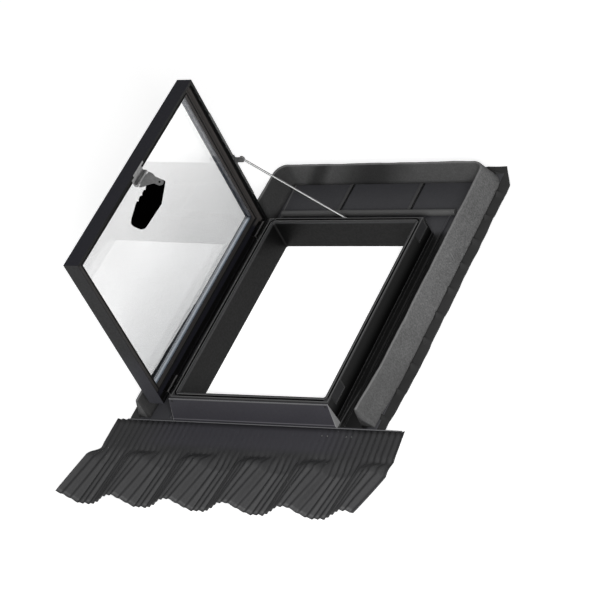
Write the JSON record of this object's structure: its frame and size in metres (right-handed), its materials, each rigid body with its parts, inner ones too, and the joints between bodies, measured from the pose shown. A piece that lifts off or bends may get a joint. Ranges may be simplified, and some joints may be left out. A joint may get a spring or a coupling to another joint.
{
  "type": "roof skylight with side-hung opening sash",
  "caption": "Side-hung roof exit window with its moulded kerb, flashing, foam seal and pleated apron, shown with the glazed sash stood open on its stay.",
  "frame": {"origin": "centre of the four fixing holes in the kerb's underside, in the middle of the clear opening's width", "axes": "+X across the roof from the hinge side to the latch side, +Y up the slope, +Z out of the roof"},
  "size_m": [0.939, 1.2097, 0.6015],
  "materials": {
    "kerb_plastic": "moulded, fine grain, satin",
    "cover_metal": "coated sheet, satin dark grey",
    "flashing_metal": "coated sheet, satin dark grey",
    "sash_metal": "powder coated, satin near-black",
    "screw_steel": "zinc plated",
    "hinge_steel": "zinc plated, dull",
    "latch_zinc": "zinc plated sheet",
    "rod_steel": "bright drawn bar",
    "track_metal": "mill finish",
    "spacer_metal": "bright folded strip",
    "pane": "clear float glass",
    "seal_rubber": "matt",
    "grip_plastic": "moulded, low gloss",
    "foam": "grey flexible foam, open felt-like skin",
    "underlay": "thin non-woven sheet",
    "apron_sheet": "pleated sheet, matt dark grey"
  },
  "bodies": {
    "kerb": {"frame_body": "kerb_plastic", "front_cover": "cover_metal", "flashing_tray": "flashing_metal", "foam_seal": "foam", "underlay_flange": "underlay", "apron": "apron_sheet", "hinge_lower_frame_leaf": "hinge_steel", "hinge_upper_frame_leaf": "hinge_steel", "stay_guide": "kerb_plastic", "latch_keep": "latch_zinc"},
    "sash": {"sash_frame": "sash_metal", "sash_cap": "sash_metal", "glass_inner": "pane", "glass_outer": "pane", "glazing_spacer": "spacer_metal", "inner_gasket": "seal_rubber", "outer_gasket": "seal_rubber", "rim_seal": "seal_rubber", "hinge_lower_sash_leaf": "hinge_steel", "hinge_upper_sash_leaf": "hinge_steel", "stay_track": "track_metal", "latch_base": "latch_zinc", "latch_pin": "screw_steel"},
    "shoe": {"stay_shoe": "latch_zinc", "stay_pin": "screw_steel"},
    "rod": {"stay_rod": "rod_steel"},
    "hasp": {"latch_hasp": "latch_zinc", "grip_rivet": "screw_steel"},
    "grip": {"grip": "grip_plastic"}
  },
  "joints": [
    {"name": "sash_hinge", "type": "hinge", "parent": "kerb", "child": "sash", "pos_m": [-0.264, 0, 0.077], "axis": [0, 1, 0], "range_deg": [0, 88.5]},
    {"name": "shoe_slide", "type": "slide", "parent": "sash", "child": "shoe", "axis": [-0.0262, 0, -0.9997], "range_m": [0, 0.0951]},
    {"name": "rod_pivot", "type": "hinge", "parent": "shoe", "child": "rod", "pos_m": [-0.23585, 0.34055, 0.31164], "axis": [0, 1, 0], "range_deg": [-134, 0]},
    {"name": "hasp_hinge", "type": "hinge", "parent": "sash", "child": "hasp", "pos_m": [-0.26335, 0.013, 0.56025], "axis": [0, 1, 0], "range_deg": [0, 25]},
    {"name": "grip_pivot", "type": "hinge", "parent": "hasp", "child": "grip", "pos_m": [-0.22555, 0.0245, 0.53456], "axis": [0.5621, 0, 0.8271], "range_deg": [0, 30]}
  ],
  "couplings": [
    {"joint": "shoe_slide", "follows": "sash_hinge", "m_per_rad": 0.061569},
    {"joint": "rod_pivot", "follows": "sash_hinge", "ratio": -1.5134}
  ]
}
